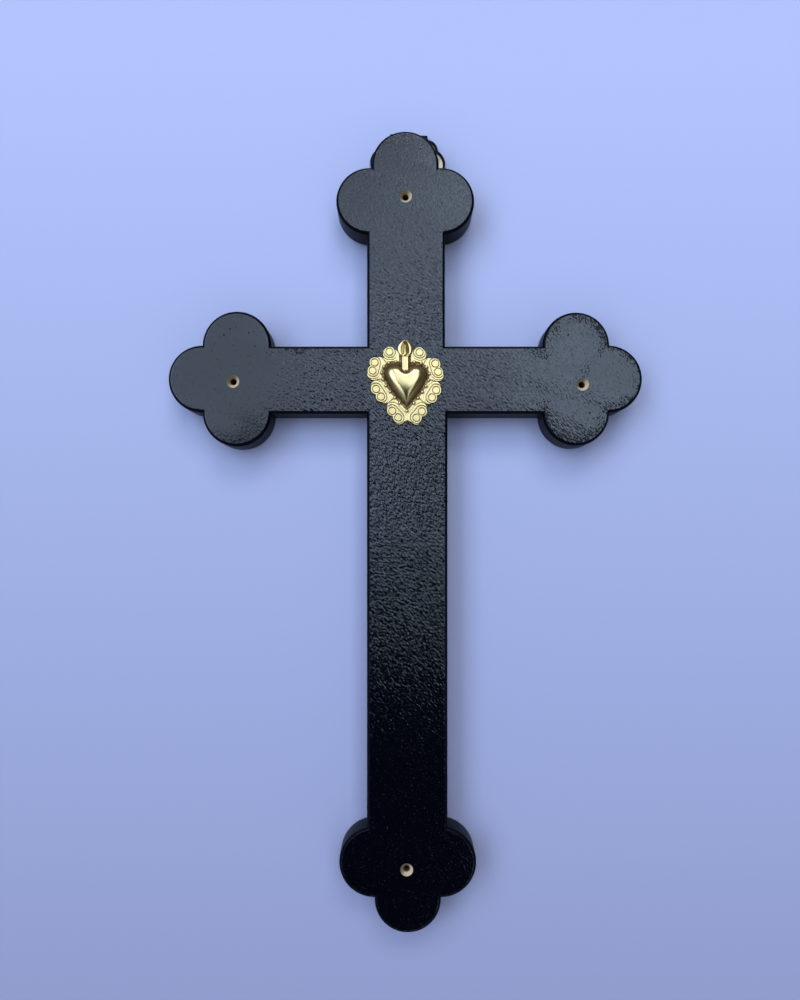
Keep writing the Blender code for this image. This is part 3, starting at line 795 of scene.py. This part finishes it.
def instancer(name, sizes, shape):
    """A tree that sets one shape on every point of its mesh. shape(tree, entry) returns its geometry."""
    tree = bpy.data.node_groups.new(name, "GeometryNodeTree")
    kinds = {"Points": "Geometry", **dict.fromkeys(sizes, "Float"), "Material": "Material"}
    sockets = {}
    for label, kind in kinds.items():
        socket = tree.interface.new_socket(label, in_out="INPUT", socket_type="NodeSocket" + kind)
        sockets[label] = socket.identifier
        if label in sizes:
            socket.default_value = sizes[label]
    tree.interface.new_socket("Shapes", in_out="OUTPUT", socket_type="NodeSocketGeometry")
    entry = tree.nodes.new("NodeGroupInput")
    copies = add_node(tree, "GeometryNodeInstanceOnPoints",
                      {"Points": entry.outputs["Points"], "Instance": shape(tree, entry),
                       "Rotation": (math.pi / 2, 0, 0)})
    real = add_node(tree, "GeometryNodeRealizeInstances", {0: copies.outputs[0]})
    smoothed = add_node(tree, "GeometryNodeSetShadeSmooth", {0: real.outputs[0]})
    coloured = add_node(tree, "GeometryNodeSetMaterial",
                        {0: smoothed.outputs[0], "Material": entry.outputs["Material"]})
    add_node(tree, "NodeGroupOutput", {0: coloured.outputs[0]})
    return tree, sockets


def bead_shape(tree, entry):
    ball = add_node(tree, "GeometryNodeMeshUVSphere",
                    {"Segments": 16, "Rings": 10, "Radius": entry.outputs["Radius"]})
    return ball.outputs["Mesh"]


def boss_shape(tree, entry):
    """A flat disc with a round edge."""
    flat = add_node(tree, "GeometryNodeMeshCylinder",
                    {"Vertices": 48, "Radius": entry.outputs["Disc radius"],
                     "Depth": times(tree, entry.outputs["Disc edge"], 2.0)})
    path = add_node(tree, "GeometryNodeCurvePrimitiveCircle",
                    {"Resolution": 48, "Radius": entry.outputs["Disc radius"]})
    section = add_node(tree, "GeometryNodeCurvePrimitiveCircle",
                       {"Resolution": 16, "Radius": entry.outputs["Disc edge"]})
    edge = add_node(tree, "GeometryNodeCurveToMesh",
                    {"Curve": path.outputs["Curve"], "Profile Curve": section.outputs["Curve"]})
    both = tree.nodes.new("GeometryNodeJoinGeometry")
    for part in (flat.outputs["Mesh"], edge.outputs[0]):
        tree.links.new(part, both.inputs[0])
    return both.outputs[0]


def repeated_piece(name, group, shape, places, sizes, material):
    """One plain mesh piece with a shape at every place."""
    points = bpy.data.meshes.new(name + "_points")
    points.from_pydata(places.tolist(), [], [])
    piece = new_piece(name, points)
    modifier = piece.modifiers.new("repeat", "NODES")
    modifier.node_group, sockets = instancer(group, sizes, shape)
    for label, value in {**sizes, "Material": material}.items():
        modifier[sockets[label]] = value
    made = evaluated_mesh(piece)
    piece.modifiers.clear()
    piece.data = made
    smooth(made, 25)
    return piece


# The heart and the charm's relief


def heart_half():
    """The heart's right edge from its cleft, over the lobe, down to its tip."""
    half = HEART_WIDTH / 2
    low, high, tip = HEART_CLEFT, HEART_LOBE_TOP, HEART_TIP
    knots = [
        (Vector((0, low)), Vector((0, 0)), Vector((0.10 * half, 0.8 * (high - low)))),
        (Vector((0.5 * half, high)), Vector((-0.28 * half, 0)), Vector((0.28 * half, 0))),
        (Vector((half, 0.4 * high)), Vector((0, 0.3 * high)), Vector((0, -0.36 * tip))),
        (Vector((0, -tip)), Vector((0.28 * half, 0.22 * tip)), Vector((0, 0))),
    ]
    points = []
    for (start, _, leave), (end, arrive, _) in zip(knots, knots[1:]):
        span = interpolate_bezier(start, start + leave, end + arrive, end, HEART_STEPS)
        points += [Vector(point).xy for point in span][:-1]
    return points + [knots[-1][0]]


def mirrored(points):
    return [Vector((-point.x, point.y)) for point in points]


def heart_outline():
    """The heart's whole edge, clockwise from its cleft."""
    half = heart_half()
    return half + mirrored(half[-2:0:-1])


def distance_to_line(right, up, start, end):
    """Each point's distance to one straight piece, which may be a mere point."""
    run = end - start
    along = ((right - start.x) * run.x + (up - start.y) * run.y) / max(run.length_squared, 1e-12)
    along = np.clip(along, 0, 1)
    return np.hypot(right - start.x - along * run.x, up - start.y - along * run.y)


def heart_reach(angle):
    """How far the heart's edge lies from its centre in one direction."""
    direction = Vector((math.cos(angle), math.sin(angle)))
    whole = heart_outline()
    best = 0
    for start, end in zip(whole, whole[1:] + whole[:1]):
        run = end - start
        across = direction.cross(run)
        if abs(across) < 1e-12:
            continue
        far = start.cross(run) / across
        share = start.cross(direction) / across
        if far > 0 and -1e-6 <= share <= 1 + 1e-6:
            best = max(best, far)
    return best


def rounded_distance(right, up, path):
    """Like the distance to a closed path, but with no ridge where two sides are equally near."""
    pull = np.zeros(right.shape)
    for start, end in zip(path, path[1:] + path[:1]):
        run = end - start
        way = run.normalized()
        off = np.maximum(np.abs((right - start.x) * way.y - (up - start.y) * way.x), 0.000002)
        before = (right - start.x) * way.x + (up - start.y) * way.y
        after = before - run.length
        pull += (before / np.hypot(off, before) - after / np.hypot(off, after)) / off ** 2
    return np.sqrt(2 / pull)


def heart_height(right, up, way, settings):
    """A puffed heart, smooth all over and steep at its sides, with painted dark reflection on those sides."""
    inward = np.where(way >= 0.9999, 0, rounded_distance(right, up, heart_outline()))
    share = np.clip(inward / settings.heart_shoulder, 0, 1)
    # Painted dark reflection: the steep sides take the tarnish colour, standing for the dark room that they
    # reflect.
    tarnish_and_shade = HEART_SLOPE_SHADE * np.clip(1.1 - 2.1 * share, 0, 1)
    return settings.heart_puff * (1 - (1 - share) ** HEART_LEVELLING), tarnish_and_shade


def leaf_distances(side, up):
    """Each point's distance to the line between each leaf's first and last boss, nearest first."""
    ends = [(Vector(BOSSES[first]), Vector(BOSSES[last])) for first, last in LEAF_BOSSES]
    return np.sort([distance_to_line(side, up, start, end) for start, end in ends], axis=0)


def flame_half_width(up):
    """Half the flame's width at each height."""
    foot = COLLAR_FOOT_RISE + COLLAR_HEIGHT
    share = np.clip((up - foot) / FLAME_HEIGHT, 0, 1)
    widths = [0.5, 0.66, 0.92, 1.0, 0.82, 0.45, 0.02]
    return np.interp(share, [0, 0.1, 0.28, 0.5, 0.7, 0.87, 1.0], widths) * FLAME_WIDTH / 2


def dip(value, centre, width):
    """A soft bell of height 1."""
    return np.exp(-((value - centre) / width) ** 2)


def stamped_depth(side, up, settings):
    """How deep the sheet is stamped: creases between leaves, grooves round bosses and a moat at each boss."""
    nearest = leaf_distances(side, up)
    creases = dip(nearest[1] - nearest[0], 0, CREASE_WIDTH)
    grooves = [share * dip(nearest[0], far, GROOVE_WIDTH) for far, share in GROOVES]
    from_boss = np.min([np.hypot(side - place[0], up - place[1]) for place in BOSSES], axis=0)
    moat = dip(from_boss, settings.disc_radius + settings.disc_edge + MOAT_GAP, MOAT_WIDTH)
    return np.max([creases, *grooves, moat], axis=0)


def charm_height(right, up, way, settings):
    """The stamped sheet, with its leaves, the sunk band round the heart, the flame and its collar."""
    stamped = stamped_depth(np.abs(right), up, settings)
    from_heart = np.min([np.hypot(right - point.x, up - point.y) for point in heart_outline()], axis=0)
    band = np.clip((1.2 * BEAD_GAP - from_heart) / (0.35 * BEAD_GAP), 0, 1)
    tarnish_and_shade_share = np.maximum(GROOVE_TARNISH * stamped, band)
    height = -settings.groove_depth * stamped - BAND_DEPTH * band
    foot = COLLAR_FOOT_RISE
    top = foot + COLLAR_HEIGHT + FLAME_HEIGHT
    middle = right - FLAME_SHIFT * np.clip((up - foot) / (top - foot), 0, 1)
    share = np.abs(middle) / flame_half_width(up)
    rise = (up - foot - COLLAR_HEIGHT) / FLAME_HEIGHT
    in_flame = (share < 1) & (rise > 0) & (rise < 1)
    fading = np.clip(np.sin(np.clip(rise * 0.95, 0, 1) * math.pi) * 2 - 0.5, 0, 1)
    petals = dip(share, 0.40 - 0.20 * np.clip(rise, 0, 1), 0.17) * fading
    flame = FLAME_PUFF * np.sqrt(np.clip(1 - share ** 2, 0, 1)) * np.clip(rise * 4 + 0.4, 0, 1)
    height = np.where(in_flame, flame - PETAL_DEPTH * petals, height)
    # Tarnish in the petals' creases, with painted shade making those on the right darker than those on the
    # left.
    tarnish_and_shade_share = np.where(in_flame, petals * np.where(middle > 0, 1.0, 0.4), tarnish_and_shade_share)
    across = np.abs(middle) / (COLLAR_WIDTH / 2)
    in_collar = (across < 1) & (up > HEART_CLEFT - COLLAR_OVERLAP) & (rise <= 0.02)
    collar = COLLAR_PUFF * np.sqrt(np.clip(1 - across ** 6, 0, 1)) + COLLAR_STEP
    beside = dip(across, 1.25, 0.25) * ((up > HEART_CLEFT) & (rise <= 0.1))
    height = np.where(in_collar, collar, height) - COLLAR_DIP * beside
    # Painted shade darkens the collar's rounded sides.
    tarnish_and_shade_share = np.maximum(np.where(in_collar, np.clip(across - 0.5, 0, 1), tarnish_and_shade_share), beside)
    inward = np.clip((1 - way) / EDGE_SHARE, 0, 1)
    height = np.sqrt(1 - (1 - inward) ** 2) * (height + EDGE_DROP) - EDGE_DROP
    return height, np.clip(tarnish_and_shade_share, 0, 1)


def bead_places():
    """Points along a line round the heart, one pitch apart, leaving the collar's place free."""
    line = []
    edge = heart_half()
    for before, here, after in zip(edge, edge[1:], edge[2:]):
        line.append(here + turn((after - before).normalized()) * 0.9 * BEAD_GAP)
    line.append(Vector((0, -HEART_TIP - 1.4 * BEAD_GAP)))
    line.reverse()
    places = [line[0]]
    travelled = 0
    for before, here in zip(line, line[1:]):
        travelled += (here - before).length
        if travelled >= BEAD_PITCH and here.x > COLLAR_FOOT_WIDTH / 2 + 0.0005:
            places.append(here)
            travelled = 0
    return places + mirrored(places[1:])


# Settings


def length(name, description, default):
    return FloatProperty(name=name, description=description, default=default, min=0.0, unit="LENGTH",
                         precision=5)


def amount(name, description, default, high=1.0):
    return FloatProperty(name=name, description=description, default=default, min=0.0, max=high)


def colour(name, description, default, high=1.0):
    return FloatVectorProperty(name=name, description=description, default=default, size=3, min=0.0,
                               max=high, subtype="COLOR")


class BoardSettings(bpy.types.PropertyGroup):
    edge_rounding: length("Edge rounding", "How much the board's edges are eased", 0.0012)
    paint_colour: colour("Paint", "Colour of the paint under its gloss", (0.0004, 0.0007, 0.0026))
    paint_roughness: amount("Paint roughness", "0 is a mirror", 0.12)
    stipple_size: length("Stipple size", "From one bump of the paint to the next", 0.00055)
    stipple_depth: length("Stipple depth", "How deep the paint's bumps are", 0.00034)
    pit_size: length("Pit size", "Size of the pits near the right end's edges", 0.0006)
    edge_roughness: amount("Edge roughness", "How dull the paint is along the edges and down the sides", 0.4)
    edge_shine: amount("Edge shine", "How much light the dull edges reflect", 0.06)
    wood_colour: colour("Bare wood", "Colour of the wood in the holes' mouths", (0.52, 0.38, 0.21))
    # Painted shade: the dark brown down the bores stands for the shade in the narrow holes.
    bore_shade_colour: colour("Bore", "Colour of the wood down in the holes", (0.10, 0.05, 0.02))


class CharmSettings(bpy.types.PropertyGroup):
    heart_puff: length("Heart height", "How far the heart stands out of the charm", 0.0027)
    heart_shoulder: length("Heart shoulder", "How far in from its edge the heart goes on rising", 0.0048)
    groove_depth: length("Groove depth", "Depth of the grooves and creases on the leaves", 0.00022)
    bead_radius: length("Bead radius", "Radius of the beads round the heart", 0.0007)
    disc_radius: length("Disc radius", "Radius of each boss's flat disc", 0.0011)
    disc_edge: length("Disc edge", "Radius of the round edge of each disc", 0.00013)
    gold_colour: colour("Gold", "Colour of the bright gold", (0.585, 0.447, 0.195))
    # The tarnish colour is also painted shade: on the heart's steep sides, the collar's sides and the flame's
    # right-hand petals.
    tarnish_and_shade_colour: colour("Tarnish", "Colour in the grooves", (0.11, 0.06, 0.03))
    gold_roughness: amount("Gold roughness", "0 is a mirror", 0.2)


class HangerSettings(bpy.types.PropertyGroup):
    dark_brass_colour: colour("Dark brass", "Colour of the aged brass", (0.008, 0.007, 0.008))
    # Painted reflection: the paler colour of the field inside the rim, which stains vary.
    field_reflection_colour: colour("Worn brass", "Colour where the brass is worn", (0.30, 0.26, 0.18))


class StageSettings(bpy.types.PropertyGroup):
    # Painted shade: the wall is darker at the foot for the light falling off downwards.
    wall_colour_high: colour("Wall, high", "Colour of the wall level with the top", (0.463, 0.478, 0.652))
    wall_colour_low: colour("Wall, low", "Colour of the wall level with the foot", (0.290, 0.287, 0.402))
    front_tint: colour("Front light", "Colour of the light in front", (1.0, 1.24, 1.62), 4.0)
    above_tint: colour("Light above", "Colour of the light above to the right", (1.0, 1.1, 1.3), 4.0)
    left_tint: colour("Left light", "Colour of the light on the left", (0.95, 1.25, 1.8), 4.0)
    room_strength: amount("Room strength", "Brightness of the rest of the room", 0.13, 20.0)
    room_tint: colour("Room tint", "Colour of the rest of the room", (1.0, 0.93, 0.85))


# Pieces


class CROSS_OT_board(bpy.types.Operator):
    """Make the painted board, with its eased edges and its four drilled holes"""

    bl_idname = "cross.board"
    bl_label = "Painted board"

    def execute(self, context):
        settings = context.scene.cross_board
        outline = [world(point, 0).xz for point in board_outline()]
        board = slab("painted_board", outline, FRONT, 0, settings.edge_rounding, EDGE_STEPS)
        wood = bare_wood_material(settings)
        board.data.materials.append(paint_material(settings))
        mouth_slope = (HOLE_MOUTH - HOLE_BORE) / 2 / HOLE_SINK_DEPTH
        section = [
            (0, OVERCUT),
            (HOLE_MOUTH / 2 + mouth_slope * OVERCUT, OVERCUT),
            (HOLE_BORE / 2, -HOLE_SINK_DEPTH),
            (HOLE_BORE / 2, -BOARD_THICKNESS - OVERCUT),
            (0, -BOARD_THICKNESS - OVERCUT),
        ]
        for place in (TOP_HOLE, LEFT_HOLE, RIGHT_HOLE, FOOT_HOLE):
            drill = new_piece("drill", turned_mesh("drill", section, stood_up(world(place, FRONT))))
            drill.data.materials.append(wood)
            cut(board, drill)
        pocket_outline = []
        for spoke in range(POCKET_STEPS):
            angle = math.tau * spoke / POCKET_STEPS
            far = plate_reach(angle, -PLATE_POCKET_CLEARANCE)
            pocket_outline.append(world(on_plate((far * math.cos(angle), far * math.sin(angle))), 0).xz)
        floor = -PLATE_THICKNESS - PLATE_RIM_HEIGHT - PLATE_POCKET_CLEARANCE
        pocket = slab("pocket", pocket_outline, floor, OVERCUT, 0, 0)
        pocket.data.materials.append(board.data.materials[0])
        cut(board, pocket)
        board.data.materials.append(edge_material(settings))
        for face in board.data.polygons:
            if abs(face.normal.y) < EDGE_ENDS and face.material_index == 0:
                face.material_index = 2
        smooth(board.data, 25)
        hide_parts("cross_board")
        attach(board, "root")
        return {"FINISHED"}


class CROSS_OT_charm(bpy.types.Operator):
    """Make the stamped charm: its leaves, flame and collar, and its puffed heart"""

    bl_idname = "cross.charm"
    bl_label = "Stamped charm"

    def execute(self, context):
        settings = context.scene.cross_charm
        gold = gold_material(settings)
        sheet = relief("charm_sheet", charm_reach, 0.26, 125, 720, charm_height, -CHARM_THICKNESS, settings)
        heart = relief("puffed_heart", heart_reach, 1 / 70, 70, 360, heart_height, HEART_BASE, settings)
        for piece in (sheet, heart):
            piece.data.materials.append(gold)
            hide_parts("heart_charm")
            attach(piece, "root")
        return {"FINISHED"}


class CROSS_OT_beads(bpy.types.Operator):
    """Make the row of beads round the heart and the ring bosses on the charm's border"""

    bl_idname = "cross.beads"
    bl_label = "Beads and bosses"

    def execute(self, context):
        settings = context.scene.cross_charm
        gold = bpy.data.materials["stamped_gold"]
        both_sides = [(side * right, up) for side in (1, -1) for right, up in BOSSES]
        bead_sizes = {"Radius": settings.bead_radius}
        disc_sizes = {"Disc radius": settings.disc_radius, "Disc edge": settings.disc_edge}
        rows = [
            ("heart_beads", "bead_row", bead_shape, bead_places(), BEAD_RISE, bead_sizes),
            ("ring_bosses", "boss_border", boss_shape, both_sides, BOSS_RISE, disc_sizes),
        ]
        for name, group, shape, spots, rise, sizes in rows:
            right, up = np.array([tuple(spot) for spot in spots]).T
            places = charm_places(right, up, np.full(len(spots), rise))
            piece = repeated_piece(name, group, shape, places, sizes, gold)
            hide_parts("heart_charm")
            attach(piece, "root")
        return {"FINISHED"}


class CROSS_OT_hanger(bpy.types.Operator):
    """Give the hanger plate its aged brass"""

    bl_idname = "cross.hanger"
    bl_label = "Hanger plate"

    def execute(self, context):
        plate = frame["nodes"]["hanger_plate"]
        brass = brass_material(context.scene.cross_hanger)
        for slot in plate.material_slots:
            slot.material = brass
        return {"FINISHED"}


class CROSS_OT_stage(bpy.types.Operator):
    """Make the pale wall, the soft light in front and the camera"""

    bl_idname = "cross.stage"
    bl_label = "Stage"

    def execute(self, context):
        scene = context.scene
        settings = scene.cross_stage
        mesh = bpy.data.meshes.new("wall")
        middle = world((0, 0), WALL_GAP)
        corners = [(-1, -1), (1, -1), (1, 1), (-1, 1)]
        mesh.from_pydata([middle + Vector((x, 0, z)) * WALL_REACH for x, z in corners], [], [(0, 1, 2, 3)])
        wall = new_piece("wall", mesh)
        mesh.materials.append(wall_material(settings))
        scene.view_settings.view_transform = "Standard"
        self.light_room(scene, settings)
        eye = bpy.data.cameras.new("camera")
        eye.lens = EYE_LENS
        eye.sensor_width = EYE_SENSOR
        eye.shift_y = EYE_SHIFT_UP
        eye.clip_start = EYE_NEAR
        camera = new_piece("camera", eye)
        camera.location = world((EYE_RIGHT, EYE_UP), FRONT - EYE_DISTANCE)
        camera.rotation_euler = (math.pi / 2, 0, 0)
        scene.camera = camera
        return {"FINISHED"}

    def light_room(self, scene, settings):
        """A dim room with its lights as soft patches in front, above, below and to the left."""
        room = bpy.data.worlds.new("room")
        scene.world = room
        room.use_nodes = True
        tree = room.node_tree
        here = add_node(tree, "ShaderNodeTexCoord").outputs["Generated"]
        way = add_node(tree, "ShaderNodeSeparateXYZ", {0: here}).outputs
        forward = math_node(tree, "MAXIMUM", times(tree, way["Y"], -1.0), 0.05)
        right = math_node(tree, "DIVIDE", way["X"], forward)
        up = math_node(tree, "DIVIDE", way["Z"], forward)
        ahead = ramp(tree, way["Y"], 0.0, -0.2)
        dim = ramp(tree, way["Y"], -0.85, -0.6, 0.0, settings.room_strength)
        total = vector_math(tree, "SCALE", settings.room_tint, dim, "Scale")[0]
        for tint, lights in LIGHTS.items():
            for across, upward in lights:
                ahead_across = times(tree, profile(tree, right, across), ahead)
                level = times(tree, ahead_across, profile(tree, up, upward))
                shone = vector_math(tree, "SCALE", getattr(settings, tint), level, "Scale")[0]
                total = vector_math(tree, "ADD", total, shone)[0]
        seen = add_node(tree, "ShaderNodeLightPath").outputs["Is Camera Ray"]
        tree.links.new(mix_colour(tree, seen, total, BEYOND_COLOUR), tree.nodes["Background"].inputs["Color"])


class CROSS_PT_panel(bpy.types.Panel):
    """The cross's sizes and colours, with a button for each group of pieces"""

    bl_idname = "CROSS_PT_panel"
    bl_label = "Budded wall cross"
    bl_space_type = "VIEW_3D"
    bl_region_type = "UI"
    bl_category = "Cross"

    def draw(self, context):
        for step in STEPS:
            self.layout.operator(step.bl_idname)
        for key, kind in SETTINGS.items():
            box = self.layout.box()
            box.label(text=key.replace("_", " "))
            for name in kind.__annotations__:
                box.prop(getattr(context.scene, key), name)


SETTINGS = {
    "cross_board": BoardSettings,
    "cross_charm": CharmSettings,
    "cross_hanger": HangerSettings,
    "cross_stage": StageSettings,
}
STEPS = [CROSS_OT_board, CROSS_OT_charm, CROSS_OT_beads, CROSS_OT_hanger, CROSS_OT_stage]


def register():
    for kind in [*SETTINGS.values(), *STEPS, CROSS_PT_panel]:
        bpy.utils.register_class(kind)
    for key, kind in SETTINGS.items():
        setattr(bpy.types.Scene, key, PointerProperty(type=kind))


def unregister():
    for key in SETTINGS:
        delattr(bpy.types.Scene, key)
    for kind in reversed([*SETTINGS.values(), *STEPS, CROSS_PT_panel]):
        bpy.utils.unregister_class(kind)


def main():
    register()
    bpy.ops.cross.board()
    bpy.ops.cross.charm()
    bpy.ops.cross.beads()
    bpy.ops.cross.hanger()
    bpy.ops.cross.stage()


if __name__ == "__main__":
    main()
